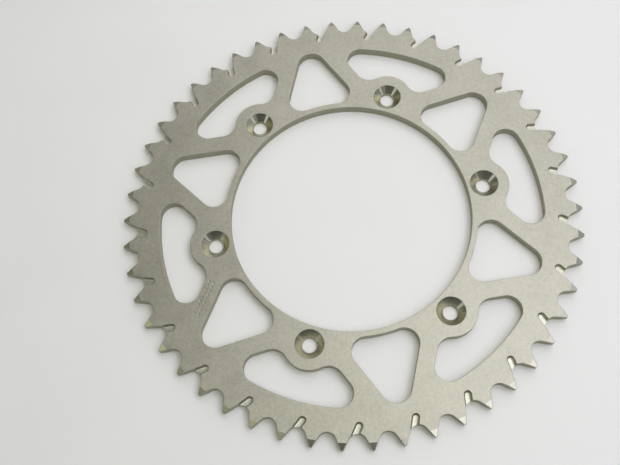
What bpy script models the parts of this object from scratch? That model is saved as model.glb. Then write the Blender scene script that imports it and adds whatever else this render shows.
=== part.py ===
"""Rear sprocket of a motorcycle: one flat plate with 50 teeth for a 520 chain.

The plate lies flat with its back face down, the face that seats on the hub, and its front face,
the countersunk one, up. The origin is the centre of the hub bore on the back face. +Z points out
of the front face, and +Y points through a bolt hole, which is in line with a tooth. A bearing is
an angle from +Y, clockwise as seen from the front.
"""

import math

import bmesh
import bpy
from mathutils import Matrix, Vector

MM = 0.001

# Chain and teeth
CHAIN_PITCH = 15.875 * MM
ROLLER_DIAMETER = 10.16 * MM
TEETH = 50
TIP_RADIUS = 130.0 * MM
TIP_LAND = 1.2 * MM

# Plate
THICKNESS = 5.85 * MM
BORE_RADIUS = 68.25 * MM

# Cone turned on both faces of the tooth tips
TIP_BEVEL_START_RADIUS = 126.2 * MM
TIP_BEVEL_DEPTH = 1.5 * MM

# Bolt holes, countersunk at 90 degrees from the front
BOLT_HOLES = 6
BOLT_CIRCLE_RADIUS = 78.25 * MM
BOLT_HOLE_RADIUS = 4.1 * MM
COUNTERSINK_RADIUS = 8.05 * MM

# Triangular windows, midway between the bolt holes, with their points outward
TRIANGLE_APEX_RADIUS = 119.75 * MM
TRIANGLE_HALF_ANGLE = math.radians(25.25)
TRIANGLE_BASE_RADIUS = 71.3 * MM
TRIANGLE_APEX_FILLET = 8.3 * MM
TRIANGLE_CORNER_FILLET = 8.1 * MM

# Crescent windows, outside the bolt holes, each wrapped round the boss of its hole. The straight
# line of an end passes CRESCENT_END_OFFSET beside the hole's radius at CRESCENT_END_RADIUS.
CRESCENT_OUTER_RADIUS = 108.8 * MM
CRESCENT_END_ANGLE = math.radians(34.25)
CRESCENT_END_OFFSET = 29.6 * MM
CRESCENT_END_RADIUS = 93.9 * MM
CRESCENT_BOSS_RADIUS = 14.2 * MM
CRESCENT_OUTER_FILLET = 7.8 * MM
CRESCENT_INNER_FILLET = 8.7 * MM

# Mud grooves, milled into the front face at every second tooth gap. The centre line of a groove
# crosses the radius through its gap at GROOVE_CROSSING_RADIUS, leaning GROOVE_LEAN clockwise.
GROOVE_HALF_WIDTH = 2.0 * MM
GROOVE_DEPTH = 2.6 * MM
GROOVE_FLOOR_FILLET = 1.2 * MM
GROOVE_LEAN = math.radians(25.0)
GROOVE_CROSSING_RADIUS = 119.8 * MM
GROOVE_INNER_LENGTH = 2.4 * MM
GROOVE_OUTER_LENGTH = 5.0 * MM

# Facets
BORE_STEPS = 96
HOLE_STEPS = 24
SEAT_STEPS = 8
FLOOR_FILLET_STEPS = 3
CORNER_STEP = math.radians(15.0)
LONG_ARC_STEP = math.radians(4.0)
GROOVE_END_STEP = math.radians(30.0)
OVERRUN = 2.0 * MM
WELD_DISTANCE = 0.001 * MM

# Worked out from the above
PITCH_RADIUS = CHAIN_PITCH / (2 * math.sin(math.pi / TEETH))
SEAT_RADIUS = ROLLER_DIAMETER / 2
TOOTH_ANGLE = 2 * math.pi / TEETH
HOLE_ANGLE = 2 * math.pi / BOLT_HOLES

ORIGIN = Vector((0.0, 0.0))
ANODISED_COLOUR = (0.46, 0.45, 0.37, 1.0)


def direction(bearing):
    """The unit vector at a bearing."""
    return Vector((math.sin(bearing), math.cos(bearing)))


def arc(centre, radius, start, end, step=CORNER_STEP):
    """Points of a circle from one bearing to another, both ends included."""
    steps = max(1, round(abs(end - start) / step))
    bearings = [start + (end - start) * count / steps for count in range(steps + 1)]
    return [centre + radius * direction(bearing) for bearing in bearings]


def both_sides(half):
    """Closes an outline from its right half, which starts and ends on the Y axis."""
    return half + [Vector((-point.x, point.y)) for point in reversed(half[1:-1])]


def turned(points, bearing):
    """The points turned clockwise about the plate's centre."""
    rotation = Matrix.Rotation(-bearing, 2)
    return [rotation @ point for point in points]


def tooth_gap():
    """One gap centred on +Y, from its left tip corner to its right one. The flanks run straight
    into the seat of a chain roller, whose centre lies on the pitch circle."""
    seat_centre = PITCH_RADIUS * direction(0.0)
    right_corner = TIP_RADIUS * direction((TOOTH_ANGLE - TIP_LAND / TIP_RADIUS) / 2)
    left_corner = Vector((-right_corner.x, right_corner.y))
    to_corner = right_corner - seat_centre
    contact = math.atan2(to_corner.x, to_corner.y) + math.acos(SEAT_RADIUS / to_corner.length)
    seat_step = 2 * (math.pi - contact) / SEAT_STEPS
    seat = arc(seat_centre, SEAT_RADIUS, 2 * math.pi - contact, contact, seat_step)
    return [left_corner] + seat + [right_corner]


def toothed_rim():
    """The outline of the plate, with a tooth on +Y."""
    outline = []
    for gap in range(TEETH):
        outline += turned(tooth_gap(), (gap + 0.5) * TOOTH_ANGLE)
    return outline


def circle(centre, radius, steps):
    """A full circle, without a second point where it closes."""
    return arc(centre, radius, 0.0, 2 * math.pi, 2 * math.pi / steps)[:-1]


def triangle_window():
    """A window with its point toward +Y: straight sides that meet at the apex before it is
    rounded, and a base on a circle about the plate's centre."""
    slope = TRIANGLE_HALF_ANGLE
    apex_centre = TRIANGLE_APEX_RADIUS - TRIANGLE_APEX_FILLET / math.sin(slope)
    corner_radius = TRIANGLE_BASE_RADIUS + TRIANGLE_CORNER_FILLET
    side_distance = TRIANGLE_APEX_RADIUS * math.sin(slope) - TRIANGLE_CORNER_FILLET
    corner = math.asin(side_distance / corner_radius) - slope
    corner_centre = corner_radius * direction(corner)

    side = math.pi / 2 - slope
    half = arc(apex_centre * direction(0.0), TRIANGLE_APEX_FILLET, 0.0, side)
    half += arc(corner_centre, TRIANGLE_CORNER_FILLET, side, math.pi + corner)
    half += arc(ORIGIN, TRIANGLE_BASE_RADIUS, corner, 0.0, LONG_ARC_STEP)[1:]
    return both_sides(half)


def crescent_window():
    """A window outside the bolt hole on +Y: an outer arc about the plate's centre, two straight
    ends, and an inner arc round the boss of the hole."""
    slope = CRESCENT_END_ANGLE
    end_distance = CRESCENT_END_RADIUS * math.cos(slope) - CRESCENT_END_OFFSET * math.sin(slope)
    boss_centre = BOLT_CIRCLE_RADIUS * direction(0.0)

    outer_radius = CRESCENT_OUTER_RADIUS - CRESCENT_OUTER_FILLET
    outer = math.acos((end_distance + CRESCENT_OUTER_FILLET) / outer_radius) - slope
    outer_centre = outer_radius * direction(outer)

    inner_radius = CRESCENT_BOSS_RADIUS + CRESCENT_INNER_FILLET
    inner_distance = end_distance + CRESCENT_INNER_FILLET - BOLT_CIRCLE_RADIUS * math.cos(slope)
    inner = math.acos(inner_distance / inner_radius) - slope
    inner_centre = boss_centre + inner_radius * direction(inner)

    end = math.pi - slope
    half = arc(ORIGIN, CRESCENT_OUTER_RADIUS, 0.0, outer, LONG_ARC_STEP)
    half += arc(outer_centre, CRESCENT_OUTER_FILLET, outer, end)[1:]
    half += arc(inner_centre, CRESCENT_INNER_FILLET, end, math.pi + inner)
    half += arc(boss_centre, CRESCENT_BOSS_RADIUS, inner, 0.0)[1:]
    return both_sides(half)


def plate_outlines():
    """The toothed rim and everything that goes right through the plate."""
    bolt_hole = circle(BOLT_CIRCLE_RADIUS * direction(0.0), BOLT_HOLE_RADIUS, HOLE_STEPS)
    outlines = [toothed_rim(), circle(ORIGIN, BORE_RADIUS, BORE_STEPS)]
    for hole in range(BOLT_HOLES):
        outlines.append(turned(bolt_hole, hole * HOLE_ANGLE))
        outlines.append(turned(crescent_window(), hole * HOLE_ANGLE))
        outlines.append(turned(triangle_window(), (hole + 0.5) * HOLE_ANGLE))
    return outlines


def draw_plate(collection):
    """The outlines as one flat curve, extruded to the plate's thickness."""
    curve = bpy.data.curves.new("plate_outline", "CURVE")
    curve.dimensions = "2D"
    curve.fill_mode = "BOTH"
    curve.extrude = THICKNESS / 2
    for outline in plate_outlines():
        spline = curve.splines.new("POLY")
        spline.points.add(len(outline) - 1)
        for point, place in zip(spline.points, outline):
            point.co = (place.x, place.y, 0.0, 1.0)
        spline.use_cyclic_u = True
    drawn = bpy.data.objects.new("plate_outline", curve)
    drawn.location.z = THICKNESS / 2
    collection.objects.link(drawn)
    bpy.context.view_layer.update()
    return drawn


def mesh_of(drawn, name, collection):
    """Replaces a curve object by a closed mesh object of the same shape and place."""
    graph = bpy.context.evaluated_depsgraph_get()
    mesh = bpy.data.meshes.new_from_object(drawn.evaluated_get(graph))
    mesh.name = name
    shape = bmesh.new()
    shape.from_mesh(mesh)
    bmesh.ops.remove_doubles(shape, verts=shape.verts, dist=WELD_DISTANCE)
    bmesh.ops.recalc_face_normals(shape, faces=shape.faces)
    shape.to_mesh(mesh)
    shape.free()
    solid = bpy.data.objects.new(name, mesh)
    solid.matrix_world = drawn.matrix_world
    collection.objects.link(solid)
    bpy.data.objects.remove(drawn)
    return solid


def add_cutter(name, shape, collection):
    """A cutter object from a bmesh. It shows as wire and never renders."""
    mesh = bpy.data.meshes.new(name)
    shape.to_mesh(mesh)
    shape.free()
    cutter = bpy.data.objects.new(name, mesh)
    cutter.hide_render = True
    cutter.display_type = "WIRE"
    collection.objects.link(cutter)
    return cutter


def bevelled_disc(collection):
    """A disc turned with the cones of the tooth tips. The cones meet at mid-thickness, outside
    the teeth, and start outside the faces, so that they alone touch the plate."""
    slope = (TIP_RADIUS - TIP_BEVEL_START_RADIUS) / TIP_BEVEL_DEPTH
    half_height = THICKNESS / 2 + OVERRUN
    face_radius = TIP_BEVEL_START_RADIUS - OVERRUN * slope
    rim_radius = TIP_BEVEL_START_RADIUS + THICKNESS / 2 * slope
    profile = [
        (0.0, half_height),
        (face_radius, half_height),
        (rim_radius, 0.0),
        (face_radius, -half_height),
        (0.0, -half_height),
    ]
    shape = bmesh.new()
    points = [shape.verts.new((radius, 0.0, height)) for radius, height in profile]
    for pair in zip(points, points[1:]):
        shape.edges.new(pair)
    disc = add_cutter("bevelled_disc", shape, collection)
    disc.location.z = THICKNESS / 2
    turning = disc.modifiers.new("turning", "SCREW")
    turning.steps = 2 * TEETH
    turning.render_steps = 2 * TEETH
    turning.use_merge_vertices = True
    turning.merge_threshold = WELD_DISTANCE
    return disc


def countersinks(collection):
    """The cones of all bolt holes. They start below the face, at the wall of the hole, and go
    on above it."""
    cone_depth = COUNTERSINK_RADIUS - BOLT_HOLE_RADIUS
    bottom = THICKNESS - cone_depth
    height = cone_depth + OVERRUN
    shape = bmesh.new()
    for hole in range(BOLT_HOLES):
        place = BOLT_CIRCLE_RADIUS * direction(hole * HOLE_ANGLE)
        middle = Matrix.Translation((place.x, place.y, bottom + height / 2))
        bmesh.ops.create_cone(
            shape,
            cap_ends=True,
            segments=HOLE_STEPS,
            radius1=BOLT_HOLE_RADIUS,
            radius2=COUNTERSINK_RADIUS + OVERRUN,
            depth=height,
            matrix=middle @ Matrix.Rotation(-hole * HOLE_ANGLE, 4, "Z"),
        )
    return add_cutter("countersinks", shape, collection)


def groove_outline(half_width):
    """A slot along +Y with a round inner end and a square outer one."""
    inner_centre = -GROOVE_INNER_LENGTH * direction(0.0)
    right_corner = Vector((half_width, GROOVE_OUTER_LENGTH))
    left_corner = Vector((-half_width, GROOVE_OUTER_LENGTH))
    end = arc(inner_centre, half_width, math.pi / 2, math.pi * 3 / 2, GROOVE_END_STEP)
    return end + [left_corner, right_corner]


def groove_levels():
    """The height and half width of a groove, from above the face down to its floor."""
    floor = THICKNESS - GROOVE_DEPTH
    fillet_centre = GROOVE_HALF_WIDTH - GROOVE_FLOOR_FILLET
    levels = [(THICKNESS + OVERRUN, GROOVE_HALF_WIDTH)]
    for count in range(FLOOR_FILLET_STEPS + 1):
        angle = math.pi / 2 * count / FLOOR_FILLET_STEPS
        height = floor + GROOVE_FLOOR_FILLET * (1 - math.sin(angle))
        levels.append((height, fillet_centre + GROOVE_FLOOR_FILLET * math.cos(angle)))
    return levels


def add_groove(shape, bearing):
    """Adds one groove at the gap on a bearing: the slot's outlines at all levels, lofted."""
    crossing = GROOVE_CROSSING_RADIUS * direction(bearing)
    rings = []
    for height, half_width in groove_levels():
        outline = turned(groove_outline(half_width), bearing + GROOVE_LEAN)
        places = [(crossing + point).to_3d() + Vector((0.0, 0.0, height)) for point in outline]
        rings.append([shape.verts.new(place) for place in places])
    shape.faces.new(rings[0])
    shape.faces.new(rings[-1])
    for upper, lower in zip(rings, rings[1:]):
        sides = zip(upper, upper[1:] + upper[:1], lower[1:] + lower[:1], lower)
        for corners in sides:
            shape.faces.new(corners)


def grooves(collection):
    """The grooves of every second gap, the first one just clockwise of +Y."""
    shape = bmesh.new()
    for gap in range(0, TEETH, 2):
        add_groove(shape, (gap + 0.5) * TOOTH_ANGLE)
    bmesh.ops.recalc_face_normals(shape, faces=shape.faces)
    return add_cutter("grooves", shape, collection)


def machine(solid, operation, cutter):
    """Adds one Boolean step to a solid."""
    step = solid.modifiers.new(cutter.name, "BOOLEAN")
    step.operation = operation
    step.object = cutter


def anodised_aluminium():
    """Blasted aluminium under a pale olive anodised film."""
    material = bpy.data.materials.new("anodised_aluminium")
    material.use_nodes = True
    surface = material.node_tree.nodes["Principled BSDF"]
    surface.inputs["Base Color"].default_value = ANODISED_COLOUR
    surface.inputs["Metallic"].default_value = 0.9
    surface.inputs["Roughness"].default_value = 0.5
    return material


def new_collection(name):
    collection = bpy.data.collections.new(name)
    bpy.context.scene.collection.children.link(collection)
    return collection


def main():
    for leftover in list(bpy.data.objects):
        bpy.data.objects.remove(leftover)
    parts = new_collection("rear_sprocket")
    cutters = new_collection("cutters")

    plate = mesh_of(draw_plate(parts), "sprocket_plate", parts)
    machine(plate, "INTERSECT", bevelled_disc(cutters))
    machine(plate, "DIFFERENCE", countersinks(cutters))
    machine(plate, "DIFFERENCE", grooves(cutters))
    plate.data.materials.append(anodised_aluminium())


main()
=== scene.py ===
"""Looks of the rear sprocket: the toothed plate with its rounded edges and machined finishes, lying
on a pale table. Lengths are in metres, in the frame of the CAD model: +Z out of the front face and
+Y through a bolt hole. A bearing is an angle from +Y, clockwise as seen from the front.
"""

import math

import bmesh
import bpy
from mathutils import Matrix, Vector


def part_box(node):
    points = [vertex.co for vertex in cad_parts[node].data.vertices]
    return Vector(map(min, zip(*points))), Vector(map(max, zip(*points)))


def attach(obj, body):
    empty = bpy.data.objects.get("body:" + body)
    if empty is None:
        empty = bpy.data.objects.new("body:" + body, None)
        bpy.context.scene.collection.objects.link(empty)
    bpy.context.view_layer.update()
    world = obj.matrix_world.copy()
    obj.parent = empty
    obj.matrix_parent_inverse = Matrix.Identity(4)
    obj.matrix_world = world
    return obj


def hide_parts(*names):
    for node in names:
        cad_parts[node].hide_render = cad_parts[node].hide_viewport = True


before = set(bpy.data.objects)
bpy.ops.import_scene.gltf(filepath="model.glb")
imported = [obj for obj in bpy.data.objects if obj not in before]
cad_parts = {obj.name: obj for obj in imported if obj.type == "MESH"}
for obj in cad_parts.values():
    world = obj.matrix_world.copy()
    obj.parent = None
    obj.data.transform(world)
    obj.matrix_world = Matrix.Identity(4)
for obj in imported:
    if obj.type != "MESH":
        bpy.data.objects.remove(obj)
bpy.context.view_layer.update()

MM = 0.001
CAD_LOW, CAD_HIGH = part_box("sprocket_plate")

# Sizes that the frame gives
BACK = CAD_LOW.z
FRONT = CAD_HIGH.z
TIP_RADIUS = CAD_HIGH.y

# Chain and teeth, as in the CAD model
CHAIN_PITCH = 15.875 * MM
ROLLER_DIAMETER = 10.16 * MM
TEETH = 50
TIP_LAND = 1.2 * MM
TIP_BEVEL_START_RADIUS = 126.2 * MM
TIP_BEVEL_DEPTH = 1.5 * MM

# Bore, bolt holes and windows, as in the CAD model
BORE_RADIUS = 68.25 * MM
BOLT_HOLES = 6
BOLT_CIRCLE_RADIUS = 78.25 * MM
BOLT_HOLE_RADIUS = 4.1 * MM
COUNTERSINK_RADIUS = 8.05 * MM
TRIANGLE_APEX_RADIUS = 119.75 * MM
TRIANGLE_HALF_ANGLE = math.radians(25.25)
TRIANGLE_BASE_RADIUS = 71.3 * MM
TRIANGLE_APEX_FILLET = 8.3 * MM
TRIANGLE_CORNER_FILLET = 8.1 * MM
CRESCENT_OUTER_RADIUS = 108.8 * MM
CRESCENT_END_ANGLE = math.radians(34.25)
CRESCENT_END_OFFSET = 29.6 * MM
CRESCENT_END_RADIUS = 93.9 * MM
CRESCENT_BOSS_RADIUS = 14.2 * MM
CRESCENT_OUTER_FILLET = 7.8 * MM
CRESCENT_INNER_FILLET = 8.7 * MM

# Mud grooves, as in the CAD model
GROOVE_HALF_WIDTH = 2.0 * MM
GROOVE_DEPTH = 2.6 * MM
GROOVE_FLOOR_FILLET = 1.2 * MM
GROOVE_LEAN = math.radians(25.0)
GROOVE_CROSSING_RADIUS = 119.8 * MM
GROOVE_INNER_LENGTH = 2.4 * MM
GROOVE_OUTER_LENGTH = 5.0 * MM

# Edges: the blasting leaves every corner rounded, and milled corners get a small deburring flare
EDGE_RADIUS = 0.25 * MM
MILLED_FLARE = 0.15 * MM

# Two plain rows of punch marks on one spoke, in place of the maker's stamping
PUNCH_ROWS = 2
PUNCH_MARKS = 9
PUNCH_SPACING = 2.4 * MM
PUNCH_RADIUS = 0.75 * MM
PUNCH_DEPTH = 0.35 * MM
PUNCH_PLACE = Vector((-62.9, -70.5)) * MM
PUNCH_BEARING = math.radians(5.0)

# Facets
SEAT_STEPS = 24
FLANK_ROWS = 3
LAND_COLUMNS = 4
EDGE_STEPS = 3
BORE_STEPS = 360
HOLE_STEPS = 96
CORNER_STEP = math.radians(4.0)
LONG_ARC_STEP = math.radians(0.8)
GROOVE_END_STEP = math.radians(10.0)
FLOOR_FILLET_STEPS = 8
BALL_STEPS = 24
OVERRUN = 1.0 * MM

# Worked out from the above
PITCH_RADIUS = CHAIN_PITCH / (2 * math.sin(math.pi / TEETH))
SEAT_RADIUS = ROLLER_DIAMETER / 2
TOOTH_ANGLE = 2 * math.pi / TEETH
HOLE_ANGLE = 2 * math.pi / BOLT_HOLES
BEVEL_RUN = TIP_RADIUS - TIP_BEVEL_START_RADIUS
ORIGIN = Vector((0.0, 0.0))

# Camera: the photograph's place and lens. The plate lies turned under it, so the stage has its
# own direction of view, VIEW_TURN anticlockwise from +Y.
CAMERA_PLACE = Vector((45.6, -157.9, 413.4)) * MM
CAMERA_AIM = Vector((-18.5, -17.6, 5.85)) * MM
CAMERA_ROLL = math.radians(-7.71)
CAMERA_LENS = 45.02
SENSOR_WIDTH = 36.0
VIEW_TURN = math.radians(15.16)

# Lights: how far the banks stand, and their colours
NEAR = 0.8
FAR = 1.5
COOL = (0.90, 0.90, 1.0)
NEUTRAL = (1.0, 0.98, 0.98)
WARM = (1.0, 1.0, 0.66)
ROOM_LIGHT = 0.132

# Finishes: pale olive anodising, blasted on the faces, and brighter where a tool cut last.
# Noise stays between its low and high value almost everywhere.
FACE_COLOUR = (0.418, 0.414, 0.333)
FACE_ROUGHNESS = 0.50
GRAIN_SIZE = 0.25 * MM
GRAIN_DEPTH = 0.012 * MM
SPECKLE_SIZE = 1.3 * MM
CLOUD_SIZE = 14.0 * MM
WALL_COLOUR = (0.352, 0.347, 0.262)
WALL_ROUGHNESS = 0.50
WALL_MARK_SIZE = 0.35 * MM
WALL_MARK_DEPTH = 0.004 * MM
WALL_MARK_STRETCH = 25.0
WALL_CLOUD_SIZE = 4.0 * MM
CONE_COLOUR = (0.438, 0.434, 0.334)
CONE_ROUGHNESS = 0.22
CONE_ANISOTROPY = 0.7
TIP_COLOUR = (0.575, 0.573, 0.455)
TIP_ROUGHNESS = 0.20
TURNED_MARK_SIZE = 0.09 * MM
TURNED_MARK_DEPTH = 0.0004 * MM
TURNED_BAND_SIZE = 0.5 * MM
GROOVE_COLOUR = (0.520, 0.520, 0.425)
GROOVE_ROUGHNESS = (0.38, 0.46)
GROOVE_MARK_SIZE = 0.25 * MM
GROOVE_MARK_DEPTH = 0.003 * MM
GROOVE_CLOUD_SIZE = 1.5 * MM
TABLE_COLOUR = (0.825, 0.830, 0.795)
TABLE_ROUGHNESS = (0.55, 0.65)
TABLE_CLOUD_SIZE = 60.0 * MM
TABLE_SPECK_SIZE = 1.5 * MM
TABLE_SPECK_DEPTH = 0.002 * MM
TABLE_HALF_SIDE = 3.0
TABLE_GAP = 0.05 * MM
NOISE_LOW = 0.3
NOISE_HIGH = 0.7

# The finish of every face of the mesh, and which of them leads where they meet smoothly
FACE, WALL, EDGE, TURNED, BEVEL, MILLED = range(6)
SHADING_ORDER = (FACE, BEVEL, WALL, TURNED, MILLED, EDGE)
SMOOTH_ANGLE = math.radians(35.0)


def direction(bearing):
    """The unit vector at a bearing."""
    return Vector((math.sin(bearing), math.cos(bearing)))


def arc(centre, radius, start, end, step=CORNER_STEP):
    """Points of a circle from one bearing to another, both ends included."""
    steps = max(1, round(abs(end - start) / step))
    bearings = [start + (end - start) * count / steps for count in range(steps + 1)]
    return [centre + radius * direction(bearing) for bearing in bearings]


def circle(centre, radius, steps):
    """A full circle, without a second point where it closes."""
    return arc(centre, radius, 0.0, 2 * math.pi, 2 * math.pi / steps)[:-1]


def both_sides(half):
    """Closes an outline from its right half, which starts and ends on the Y axis."""
    return half + [Vector((-point.x, point.y)) for point in reversed(half[1:-1])]


def turned(points, bearing):
    """The points turned clockwise about the plate's centre."""
    rotation = Matrix.Rotation(-bearing, 2)
    return [rotation @ point for point in points]


def widened(outline, distance):
    """A clockwise outline with every side moved outward by a distance."""
    moved = []
    earlier = outline[-1:] + outline[:-1]
    later = outline[1:] + outline[:1]
    for before, point, after in zip(earlier, outline, later):
        sides = [(point - before).normalized(), (after - point).normalized()]
        normals = [Vector((-side.y, side.x)) for side in sides]
        total = normals[0] + normals[1]
        moved.append(point + total * (2 * distance / total.length_squared))
    return moved


def distance_to_radius(start, heading, radius):
    """How far along a heading a point reaches a radius from the plate's centre."""
    along = start.dot(heading)
    return math.sqrt(along * along - start.length_squared + radius * radius) - along


# Outlines, all clockwise


def right_flank():
    """The right flank of the gap centred on +Y: the bearing on the seat's circle where it starts,
    and its points from the foot of the bevel, at the rounded edge, up to the tip corner."""
    seat_centre = PITCH_RADIUS * direction(0.0)
    corner = TIP_RADIUS * direction((TOOTH_ANGLE - TIP_LAND / TIP_RADIUS) / 2)
    to_corner = corner - seat_centre
    contact_bearing = math.atan2(to_corner.x, to_corner.y)
    contact_bearing += math.acos(SEAT_RADIUS / to_corner.length)
    contact = seat_centre + SEAT_RADIUS * direction(contact_bearing)
    heading = (corner - contact).normalized()
    inward = Vector((heading.y, -heading.x))
    start = distance_to_radius(contact + EDGE_RADIUS * inward, heading, TIP_BEVEL_START_RADIUS)
    end = (corner - contact).length
    reaches = [start + (end - start) * row / FLANK_ROWS for row in range(FLANK_ROWS + 1)]
    return contact_bearing, [contact + reach * heading for reach in reaches]


def tooth_gap():
    """One gap from its left tip corner to its right one, and the land of the next tooth."""
    contact_bearing, flank = right_flank()
    seat_step = 2 * (math.pi - contact_bearing) / SEAT_STEPS
    seat_ends = (2 * math.pi - contact_bearing, contact_bearing)
    seat = arc(PITCH_RADIUS * direction(0.0), SEAT_RADIUS, *seat_ends, seat_step)
    left = [Vector((-point.x, point.y)) for point in reversed(flank)]
    corner_bearing = math.atan2(flank[-1].x, flank[-1].y)
    land_step = (TOOTH_ANGLE - 2 * corner_bearing) / LAND_COLUMNS
    land = arc(ORIGIN, TIP_RADIUS, corner_bearing, TOOTH_ANGLE - corner_bearing, land_step)
    return left + seat + flank + land[1:-1]


def triangle_window():
    """A window with its point toward +Y."""
    slope = TRIANGLE_HALF_ANGLE
    apex_centre = TRIANGLE_APEX_RADIUS - TRIANGLE_APEX_FILLET / math.sin(slope)
    corner_radius = TRIANGLE_BASE_RADIUS + TRIANGLE_CORNER_FILLET
    side_distance = TRIANGLE_APEX_RADIUS * math.sin(slope) - TRIANGLE_CORNER_FILLET
    corner = math.asin(side_distance / corner_radius) - slope
    corner_centre = corner_radius * direction(corner)

    side = math.pi / 2 - slope
    half = arc(apex_centre * direction(0.0), TRIANGLE_APEX_FILLET, 0.0, side)
    half += arc(corner_centre, TRIANGLE_CORNER_FILLET, side, math.pi + corner)
    half += arc(ORIGIN, TRIANGLE_BASE_RADIUS, corner, 0.0, LONG_ARC_STEP)[1:]
    return both_sides(half)


def crescent_window():
    """A window outside the bolt hole on +Y, round the boss of the hole."""
    slope = CRESCENT_END_ANGLE
    end_distance = CRESCENT_END_RADIUS * math.cos(slope) - CRESCENT_END_OFFSET * math.sin(slope)
    boss_centre = BOLT_CIRCLE_RADIUS * direction(0.0)

    outer_radius = CRESCENT_OUTER_RADIUS - CRESCENT_OUTER_FILLET
    outer = math.acos((end_distance + CRESCENT_OUTER_FILLET) / outer_radius) - slope
    outer_centre = outer_radius * direction(outer)

    inner_radius = CRESCENT_BOSS_RADIUS + CRESCENT_INNER_FILLET
    inner_distance = end_distance + CRESCENT_INNER_FILLET - BOLT_CIRCLE_RADIUS * math.cos(slope)
    inner = math.acos(inner_distance / inner_radius) - slope
    inner_centre = boss_centre + inner_radius * direction(inner)

    end = math.pi - slope
    half = arc(ORIGIN, CRESCENT_OUTER_RADIUS, 0.0, outer, LONG_ARC_STEP)
    half += arc(outer_centre, CRESCENT_OUTER_FILLET, outer, end)[1:]
    half += arc(inner_centre, CRESCENT_INNER_FILLET, end, math.pi + inner)
    half += arc(boss_centre, CRESCENT_BOSS_RADIUS, inner, 0.0)[1:]
    return both_sides(half)


# The plate


def bevel_drop(place):
    """How far the cone of the tooth tips lies below the face at a place."""
    return max(0.0, place.length - TIP_BEVEL_START_RADIUS) / BEVEL_RUN * TIP_BEVEL_DEPTH


def front_height(place):
    """The height of the front face, bevel included, at a place."""
    return FRONT - bevel_drop(place)


def back_height(place):
    """The height of the back face, bevel included, at a place."""
    return BACK + bevel_drop(place)


def add_ring(shape, outline, height_at, rise):
    """Vertices of an outline, raised by an amount from the surface that height_at gives."""
    return [shape.verts.new((place.x, place.y, height_at(place) + rise)) for place in outline]


def join_rings(shape, upper, lower, material, smooth=True):
    """Quads between two closed rings of as many vertices."""
    faces = []
    for corners in zip(upper, lower, lower[1:] + lower[:1], upper[1:] + upper[:1]):
        face = shape.faces.new(corners)
        face.material_index = material
        face.smooth = smooth
        faces.append(face)
    return faces


def add_wall(shape, outline, widening):
    """The wall of an outline with rounded edges, and its outermost ring on each face. Widening is
    1 for a hole and -1 for the rim, so that the edges round into the material."""
    rings = []
    for count in range(EDGE_STEPS + 1):
        angle = math.pi / 2 * (1 - count / EDGE_STEPS)
        inset = widened(outline, widening * EDGE_RADIUS * (1 - math.cos(angle)))
        depth = EDGE_RADIUS * (1 - math.sin(angle))
        rings.append((inset, depth))
    front = [add_ring(shape, inset, front_height, -depth) for inset, depth in rings]
    back = [add_ring(shape, inset, back_height, depth) for inset, depth in rings]
    for upper, lower in zip(front, front[1:]):
        join_rings(shape, upper, lower, EDGE)
    join_rings(shape, front[-1], back[-1], WALL)
    for upper, lower in zip(reversed(back), list(reversed(back))[1:]):
        join_rings(shape, upper, lower, EDGE)
    return front[0], back[0]


def loop_edges(shape, ring):
    """The edges of a closed ring of vertices, made where they don't exist yet."""
    pairs = zip(ring, ring[1:] + ring[:1])
    return [shape.edges.get(pair) or shape.edges.new(pair) for pair in pairs]


def add_tip_patches(shape, ring, height_at):
    """The cone of every tooth tip, and the outline of the flat face, which runs along the seats
    and straight across the foot of each cone."""
    block = len(ring) // TEETH
    last_row = FLANK_ROWS
    first_right = last_row + 1 + SEAT_STEPS + 1
    flat = []
    for tooth in range(TEETH):
        this = tooth * block
        after = (tooth + 1) % TEETH * block
        rows = []
        for row in range(FLANK_ROWS + 1):
            ends = (ring[this + first_right + row], ring[after + last_row - row])
            if row == last_row:
                land = ring[this + first_right + row + 1 : this + block]
                rows.append([ends[0]] + land + [ends[1]])
            else:
                rows.append(patch_row(shape, ends, height_at))
        for inner, outer in zip(rows, rows[1:]):
            for corners in zip(inner, outer, outer[1:], inner[1:]):
                face = shape.faces.new(corners)
                face.material_index = BEVEL
        flat += ring[this + last_row : this + first_right + 1] + rows[0][1:-1]
    return flat


def patch_row(shape, ends, height_at):
    """Vertices across a tooth on a circle about the plate's centre, between two existing ones."""
    bearings = [math.atan2(end.co.x, end.co.y) for end in ends]
    sweep = (bearings[1] - bearings[0]) % (2 * math.pi)
    row = [ends[0]]
    for column in range(1, LAND_COLUMNS):
        place = ends[0].co.xy.length * direction(bearings[0] + sweep * column / LAND_COLUMNS)
        row.append(shape.verts.new((place.x, place.y, height_at(place))))
    return row + [ends[1]]


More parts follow.
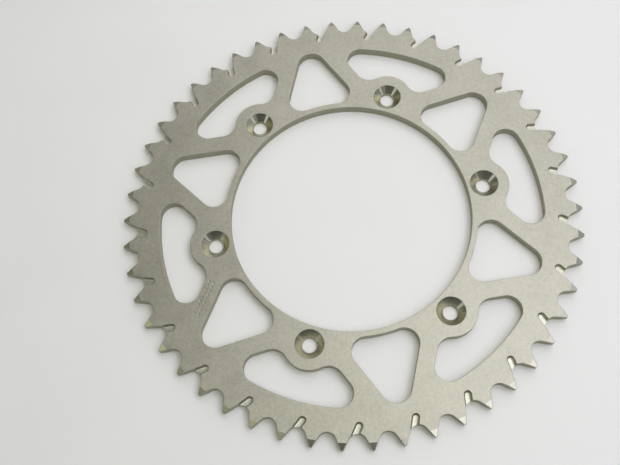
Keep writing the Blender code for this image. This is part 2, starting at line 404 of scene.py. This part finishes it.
def add_countersunk_hole(shape, bearing, layer):
    """A bolt hole with its cone, and its outermost ring on each face. The map of the cone runs
    down it in U and round it in V, for its turned finish."""
    centre = BOLT_CIRCLE_RADIUS * direction(bearing)
    cone_depth = COUNTERSINK_RADIUS - BOLT_HOLE_RADIUS
    flare = MILLED_FLARE
    profile = [
        (COUNTERSINK_RADIUS + flare, 0.0, EDGE),
        (COUNTERSINK_RADIUS + flare / 4, flare / 2, EDGE),
        (COUNTERSINK_RADIUS - flare, flare, TURNED),
        (BOLT_HOLE_RADIUS + flare, cone_depth - flare, EDGE),
        (BOLT_HOLE_RADIUS, cone_depth + flare, WALL),
        (BOLT_HOLE_RADIUS, FRONT - BACK - EDGE_RADIUS, EDGE),
        (BOLT_HOLE_RADIUS + EDGE_RADIUS, FRONT - BACK, EDGE),
    ]
    rings = []
    for radius, depth, _ in profile:
        outline = circle(centre, radius, HOLE_STEPS)
        rings.append([shape.verts.new((place.x, place.y, FRONT - depth)) for place in outline])
    for upper, lower, (_, _, material) in zip(rings, rings[1:], profile):
        faces = join_rings(shape, upper, lower, material)
        for count, face in enumerate(faces):
            for loop, step in zip(face.loops, (0, 0, 1, 1)):
                loop[layer].uv = (loop.vert.co.z / FRONT, (count + step) / HOLE_STEPS)
    return rings[0], rings[-1]


def fill_face(shape, rings, up):
    """The flat face between closed rings of vertices."""
    edges = [edge for ring in rings for edge in loop_edges(shape, ring)]
    filled = bmesh.ops.triangle_fill(
        shape, use_beauty=True, edges=edges, normal=(0.0, 0.0, 1.0 if up else -1.0)
    )
    for item in filled["geom"]:
        if isinstance(item, bmesh.types.BMFace):
            item.material_index = FACE
            item.smooth = False


def plate_shape():
    """The plate without its grooves."""
    shape = bmesh.new()
    layer = shape.loops.layers.uv.new("turning")
    rim = []
    for gap in range(TEETH):
        rim += turned(tooth_gap(), (gap + 0.5) * TOOTH_ANGLE)
    front_rim, back_rim = add_wall(shape, rim, -1)
    front_rings = [add_tip_patches(shape, front_rim, front_height)]
    back_rings = [add_tip_patches(shape, back_rim, back_height)]

    holes = [circle(ORIGIN, BORE_RADIUS, BORE_STEPS)]
    for hole in range(BOLT_HOLES):
        holes.append(turned(crescent_window(), hole * HOLE_ANGLE))
        holes.append(turned(triangle_window(), (hole + 0.5) * HOLE_ANGLE))
    ends = [add_wall(shape, outline, 1) for outline in holes]
    ends += [add_countersunk_hole(shape, hole * HOLE_ANGLE, layer) for hole in range(BOLT_HOLES)]
    front_rings += [front for front, _ in ends]
    back_rings += [back for _, back in ends]
    fill_face(shape, front_rings, True)
    fill_face(shape, back_rings, False)
    bmesh.ops.recalc_face_normals(shape, faces=shape.faces)
    return shape


def object_from(shape, name, finishes):
    """A mesh object from a bmesh."""
    mesh = bpy.data.meshes.new(name)
    shape.to_mesh(mesh)
    shape.free()
    for finish in finishes:
        mesh.materials.append(finish)
    made = bpy.data.objects.new(name, mesh)
    bpy.context.scene.collection.objects.link(made)
    return made


# The cutters


def groove_outline(half_width):
    """A slot along +Y with a round inner end and a square outer one, clockwise."""
    inner_centre = -GROOVE_INNER_LENGTH * direction(0.0)
    right_corner = Vector((half_width, GROOVE_OUTER_LENGTH))
    left_corner = Vector((-half_width, GROOVE_OUTER_LENGTH))
    end = arc(inner_centre, half_width, math.pi / 2, math.pi * 3 / 2, GROOVE_END_STEP)
    return end + [left_corner, right_corner]


def groove_levels():
    """The height and half width of a groove, from above the face down to its floor."""
    floor = FRONT - GROOVE_DEPTH
    fillet_centre = GROOVE_HALF_WIDTH - GROOVE_FLOOR_FILLET
    levels = [
        (FRONT + OVERRUN, GROOVE_HALF_WIDTH + MILLED_FLARE + OVERRUN),
        (FRONT - MILLED_FLARE, GROOVE_HALF_WIDTH),
    ]
    for count in range(FLOOR_FILLET_STEPS + 1):
        angle = math.pi / 2 * count / FLOOR_FILLET_STEPS
        height = floor + GROOVE_FLOOR_FILLET * (1 - math.sin(angle))
        levels.append((height, fillet_centre + GROOVE_FLOOR_FILLET * math.cos(angle)))
    return levels


def add_groove(shape, bearing):
    """Adds the cutter of one groove: the slot's outlines at all levels, lofted."""
    crossing = GROOVE_CROSSING_RADIUS * direction(bearing)
    rings = []
    for height, half_width in groove_levels():
        outline = turned(groove_outline(half_width), bearing + GROOVE_LEAN)
        rings.append([shape.verts.new((*(crossing + point), height)) for point in outline])
    for ring in (rings[0], rings[-1]):
        shape.faces.new(ring).material_index = MILLED
    bands = [EDGE] + [MILLED] * (len(rings) - 2)
    for upper, lower, material in zip(rings, rings[1:], bands):
        join_rings(shape, upper, lower, material)


def add_punch_mark(shape, row, number):
    """Adds the cutter of one punch mark: a ball that dips into the front face."""
    along = (number - (PUNCH_MARKS - 1) / 2) * PUNCH_SPACING
    across = (row - (PUNCH_ROWS - 1) / 2) * PUNCH_SPACING
    place = PUNCH_PLACE + along * direction(PUNCH_BEARING)
    place += across * direction(PUNCH_BEARING + math.pi / 2)
    ball_radius = (PUNCH_RADIUS**2 + PUNCH_DEPTH**2) / (2 * PUNCH_DEPTH)
    ball = bmesh.ops.create_uvsphere(
        shape,
        u_segments=BALL_STEPS,
        v_segments=BALL_STEPS,
        radius=ball_radius,
        matrix=Matrix.Translation((place.x, place.y, FRONT - PUNCH_DEPTH + ball_radius)),
    )
    for face in {face for vertex in ball["verts"] for face in vertex.link_faces}:
        face.material_index = EDGE
        face.smooth = True


def cutter_object(finishes):
    """The grooves of every second gap, the first one just clockwise of +Y, and the punch marks."""
    shape = bmesh.new()
    for gap in range(0, TEETH, 2):
        add_groove(shape, (gap + 0.5) * TOOTH_ANGLE)
    for row in range(PUNCH_ROWS):
        for number in range(PUNCH_MARKS):
            add_punch_mark(shape, row, number)
    bmesh.ops.recalc_face_normals(shape, faces=shape.faces)
    return object_from(shape, "cutters", finishes)


def cut_plate(finishes):
    """The finished plate: one mesh, with the cuts applied."""
    blank = object_from(plate_shape(), "blank", finishes)
    cutters = cutter_object(finishes)
    step = blank.modifiers.new("cuts", "BOOLEAN")
    step.operation = "DIFFERENCE"
    step.object = cutters
    bpy.context.view_layer.update()
    graph = bpy.context.evaluated_depsgraph_get()
    mesh = bpy.data.meshes.new_from_object(blank.evaluated_get(graph))
    mesh.name = "machined_plate"
    plate = bpy.data.objects.new("machined_plate", mesh)
    bpy.context.scene.collection.objects.link(plate)
    for helper in (blank, cutters):
        bpy.data.objects.remove(helper)
    set_normals(mesh)
    return plate


def set_normals(mesh):
    """Shades curved surfaces smoothly. Where a rounded edge meets a face or a wall it takes the
    direction of that, so the roundings fade out and the faces and walls stay flat."""
    around = [[] for _ in mesh.vertices]
    for polygon in mesh.polygons:
        polygon.use_smooth = True
        for vertex in polygon.vertices:
            around[vertex].append(polygon)
    normals = []
    for polygon in mesh.polygons:
        for vertex in polygon.vertices:
            near = [other for other in around[vertex] if facing_alike(polygon, other)]
            first = min(SHADING_ORDER.index(other.material_index) for other in near)
            leading = [other for other in near if other.material_index == SHADING_ORDER[first]]
            total = sum((other.normal for other in leading), Vector())
            normals.append(total.normalized())
    mesh.normals_split_custom_set(normals)


def facing_alike(polygon, other):
    """Whether two neighbours shade as one surface. The bevel's foot stays a crisp line."""
    if {polygon.material_index, other.material_index} == {FACE, BEVEL}:
        return False
    return polygon.normal.dot(other.normal) > math.cos(SMOOTH_ANGLE)


# Materials


def add_node(tree, kind, inputs, **settings):
    """A shader node, its settings, and its inputs linked or set."""
    made = tree.nodes.new("ShaderNode" + kind)
    for name, value in settings.items():
        setattr(made, name, value)
    for name, value in inputs.items():
        if isinstance(value, bpy.types.NodeSocket):
            tree.links.new(value, made.inputs[name])
        else:
            made.inputs[name].default_value = value
    return made


def noise(tree, place, size, detail=2.0):
    """Noise with features of about a size in metres."""
    inputs = {"Vector": place, "Scale": 1 / size, "Detail": detail}
    return add_node(tree, "TexNoise", inputs).outputs["Fac"]


def ring_marks(tree, distance, size):
    """Noise that changes only with a distance, as the marks of a turning tool do."""
    inputs = {"W": distance, "Scale": 1 / size, "Detail": 2.0}
    return add_node(tree, "TexNoise", inputs, noise_dimensions="1D").outputs["Fac"]


def remapped(tree, value, low, high):
    """A noise value, which stays near a half, spread over a range."""
    inputs = {"Value": value, "From Min": NOISE_LOW, "From Max": NOISE_HIGH}
    inputs.update({"To Min": low, "To Max": high})
    return add_node(tree, "MapRange", inputs).outputs["Result"]


def mixed(tree, first, second, share):
    """Two values mixed, the second with a share of the whole."""
    part = add_node(tree, "Math", {0: second, 1: share}, operation="MULTIPLY").outputs[0]
    inputs = {0: first, 1: 1 - share, 2: part}
    return add_node(tree, "Math", inputs, operation="MULTIPLY_ADD").outputs[0]


def object_place(tree):
    return add_node(tree, "TexCoord", {}).outputs["Object"]


def new_material(name, metallic=1.0):
    """A material with only its shader, and the nodes it is drawn with."""
    material = bpy.data.materials.new(name)
    material.use_nodes = True
    tree = material.node_tree
    surface = tree.nodes["Principled BSDF"]
    surface.inputs["Metallic"].default_value = metallic
    return material, tree, surface


def finish_surface(tree, surface, pattern, colours, roughness, relief, depth):
    """Colour and roughness follow a pattern, and the relief is felt as a bump of a depth."""
    ramp = add_node(tree, "ValToRGB", {"Fac": pattern})
    for stop, place, colour in zip(ramp.color_ramp.elements, (NOISE_LOW, NOISE_HIGH), colours):
        stop.position = place
        stop.color = (*colour, 1.0)
    tree.links.new(ramp.outputs["Color"], surface.inputs["Base Color"])
    tree.links.new(remapped(tree, pattern, *roughness), surface.inputs["Roughness"])
    bump = add_node(tree, "Bump", {"Height": relief, "Strength": 1.0, "Distance": depth})
    tree.links.new(bump.outputs["Normal"], surface.inputs["Normal"])


def shades(colour, spread):
    """A darker and a lighter shade of a colour."""
    return [[channel * share for channel in colour] for share in (1 - spread, 1 + spread)]


def blasted_metal(name):
    """Aluminium blasted with fine beads and anodised: an even grain, with faint clouds."""
    material, tree, surface = new_material(name)
    place = object_place(tree)
    grain = noise(tree, place, GRAIN_SIZE, 3.0)
    speckle = noise(tree, place, SPECKLE_SIZE)
    clouds = noise(tree, place, CLOUD_SIZE)
    pattern = mixed(tree, speckle, clouds, 0.35)
    colours = shades(FACE_COLOUR, 0.15)
    spread = (FACE_ROUGHNESS - 0.03, FACE_ROUGHNESS + 0.03)
    finish_surface(tree, surface, pattern, colours, spread, grain, GRAIN_DEPTH)
    return material


def milled_wall():
    """The walls, cut by the side of a mill, with upright tool marks."""
    material, tree, surface = new_material("milled_wall")
    inputs = {"Vector": object_place(tree), "Scale": (1.0, 1.0, 1 / WALL_MARK_STRETCH)}
    upright = add_node(tree, "Mapping", inputs).outputs["Vector"]
    marks = noise(tree, upright, WALL_MARK_SIZE)
    clouds = noise(tree, upright, WALL_CLOUD_SIZE)
    pattern = mixed(tree, marks, clouds, 0.5)
    colours = shades(WALL_COLOUR, 0.10)
    spread = (WALL_ROUGHNESS - 0.05, WALL_ROUGHNESS + 0.05)
    finish_surface(tree, surface, pattern, colours, spread, marks, WALL_MARK_DEPTH)
    return material


def turned_metal(name, colour, roughness, distance_of):
    """Metal cut by a turning tool, with marks in rings that follow what distance_of measures."""
    material, tree, surface = new_material(name)
    distance = distance_of(tree)
    marks = ring_marks(tree, distance, TURNED_MARK_SIZE)
    bands = ring_marks(tree, distance, TURNED_BAND_SIZE)
    pattern = mixed(tree, marks, bands, 0.4)
    colours = shades(colour, 0.04)
    spread = (roughness - 0.03, roughness + 0.03)
    finish_surface(tree, surface, pattern, colours, spread, marks, TURNED_MARK_DEPTH)
    return material, tree, surface


def height_above_table(tree):
    return add_node(tree, "SeparateXYZ", {"Vector": object_place(tree)}).outputs["Z"]


def distance_from_centre(tree):
    inputs = {0: object_place(tree)}
    return add_node(tree, "VectorMath", inputs, operation="LENGTH").outputs["Value"]


def turned_cone():
    """The countersinks, bright from the tool. The map runs down the cone in U, and the gloss is
    drawn out that way, across the marks."""
    made = turned_metal("turned_cone", CONE_COLOUR, CONE_ROUGHNESS, height_above_table)
    material, tree, surface = made
    surface.inputs["Anisotropic"].default_value = CONE_ANISOTROPY
    tangent = add_node(tree, "Tangent", {}, direction_type="UV_MAP", uv_map="turning")
    tree.links.new(tangent.outputs["Tangent"], surface.inputs["Tangent"])
    return material


def bevelled_tip():
    """The cone of the tooth tips, turned about the plate's centre."""
    return turned_metal("bevelled_tip", TIP_COLOUR, TIP_ROUGHNESS, distance_from_centre)[0]


def milled_groove():
    """The floors of the mud grooves, milled after the plate was blasted."""
    material, tree, surface = new_material("milled_groove")
    place = object_place(tree)
    marks = noise(tree, place, GROOVE_MARK_SIZE, 3.0)
    clouds = noise(tree, place, GROOVE_CLOUD_SIZE)
    pattern = mixed(tree, marks, clouds, 0.5)
    colours = shades(GROOVE_COLOUR, 0.06)
    finish_surface(tree, surface, pattern, colours, GROOVE_ROUGHNESS, marks, GROOVE_MARK_DEPTH)
    return material


def materials():
    """The finishes of the plate, in the order of FACE, WALL, EDGE, TURNED, BEVEL and MILLED."""
    return [
        blasted_metal("blasted_face"),
        milled_wall(),
        blasted_metal("blasted_edge"),
        turned_cone(),
        bevelled_tip(),
        milled_groove(),
    ]


def table_top():
    """The pale table, nearly even in colour."""
    material, tree, surface = new_material("table_top", 0.0)
    place = object_place(tree)
    clouds = noise(tree, place, TABLE_CLOUD_SIZE)
    specks = noise(tree, place, TABLE_SPECK_SIZE)
    colours = shades(TABLE_COLOUR, 0.01)
    finish_surface(tree, surface, clouds, colours, TABLE_ROUGHNESS, specks, TABLE_SPECK_DEPTH)
    return material


# The stage


def stage_turned(place):
    """A place given as seen from the camera, +Y away from it, in the plate's own frame."""
    return Matrix.Rotation(VIEW_TURN, 3, "Z") @ Vector(place)


def add_floor():
    """The table, a hair below the plate."""
    mesh = bpy.data.meshes.new("table")
    half = TABLE_HALF_SIDE
    corners = [(-half, -half, 0.0), (half, -half, 0.0), (half, half, 0.0), (-half, half, 0.0)]
    mesh.from_pydata(corners, [], [(0, 1, 2, 3)])
    floor = bpy.data.objects.new("table", mesh)
    floor.location.z = BACK - TABLE_GAP
    bpy.context.scene.collection.objects.link(floor)
    mesh.materials.append(table_top())


def add_camera():
    """The camera, aimed and then rolled about its line of sight."""
    lens = bpy.data.cameras.new("camera")
    lens.lens = CAMERA_LENS
    lens.sensor_width = SENSOR_WIDTH
    lens.clip_start = 0.01
    camera = bpy.data.objects.new("camera", lens)
    bpy.context.scene.collection.objects.link(camera)
    look = (CAMERA_AIM - CAMERA_PLACE).to_track_quat("-Z", "Y").to_matrix()
    rolled = look @ Matrix.Rotation(CAMERA_ROLL, 3, "Z")
    camera.matrix_world = Matrix.Translation(CAMERA_PLACE) @ rolled.to_4x4()
    bpy.context.scene.camera = camera


def add_bank(name, distance, elevation, azimuths, size, power, colour):
    """Square softboxes side by side, all facing the plate, with their own power each. Azimuths
    run anticlockwise from the right of the picture. Angles are in degrees."""
    height = distance * math.sin(math.radians(elevation))
    flat = distance * math.cos(math.radians(elevation))
    for number, azimuth in enumerate(azimuths):
        lamp = bpy.data.lights.new(f"{name}_{number}", "AREA")
        lamp.size = size
        lamp.energy = power
        lamp.color = colour
        angle = math.radians(azimuth)
        light = bpy.data.objects.new(lamp.name, lamp)
        light.location = stage_turned((flat * math.cos(angle), flat * math.sin(angle), height))
        light.rotation_euler = (-light.location).to_track_quat("-Z", "Y").to_euler()
        bpy.context.scene.collection.objects.link(light)


def add_lights():
    """A tall window on the right that reaches overhead, pale walls behind and on the left, and
    lamps on the front left, behind and overhead. It stays dim where the camera stands. Two low
    strips make the bright streaks in the countersinks."""
    add_bank("window_top", NEAR, 65, [-24, 0, 24], 0.21, 0.34, COOL)
    add_bank("window", FAR, 51, range(-60, 76, 15), 0.36, 0.62, COOL)
    add_bank("window_foot", FAR, 37, [-30, -15, 0], 0.36, 0.35, COOL)
    add_bank("front_reflector", NEAR, 37, range(-60, -14, 15), 0.19, 0.035, NEUTRAL)
    add_bank("back_reflector", NEAR, 37, range(60, 136, 15), 0.19, 0.115, NEUTRAL)
    add_bank("right_wall", FAR, 22, range(0, 101, 20), 0.50, 0.33, COOL)
    add_bank("back_wall", FAR, 8, range(30, 151, 30), 0.70, 0.39, NEUTRAL)
    add_bank("left_wall", FAR, 51, range(195, 241, 15), 0.36, 0.18, WARM)
    add_bank("left_lamp", FAR, 37, [195], 0.36, 0.21, WARM)
    add_bank("left_reflector", NEAR, 27, range(135, 196, 20), 0.26, 0.026, WARM)
    add_bank("front_left_lamp", FAR, 65, [216, 240, 264], 0.40, 0.42, WARM)
    add_bank("front_lamp", NEAR, 68, [290], 0.20, 0.10, NEUTRAL)
    add_bank("back_lamp", NEAR, 60, [90], 0.20, 0.34, NEUTRAL)
    add_bank("overhead", NEAR, 75, [300], 0.30, 0.48, NEUTRAL)
    add_bank("ceiling", NEAR, 79, [60], 0.24, 0.67, NEUTRAL)
    add_bank("right_strip", FAR, 23, [331], 0.38, 0.44, COOL)
    add_bank("left_strip", FAR, 23, [208], 0.42, 0.82, COOL)


def add_room():
    """The faint light that comes from everywhere."""
    world = bpy.data.worlds.new("room")
    world.use_nodes = True
    background = world.node_tree.nodes["Background"]
    background.inputs["Color"].default_value = (*COOL, 1.0)
    background.inputs["Strength"].default_value = ROOM_LIGHT
    bpy.context.scene.world = world


def set_view():
    bpy.context.scene.view_settings.view_transform = "Standard"


def main():
    plate = cut_plate(materials())
    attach(plate, "root")
    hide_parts("sprocket_plate")
    add_floor()
    add_camera()
    add_lights()
    add_room()
    set_view()


main()
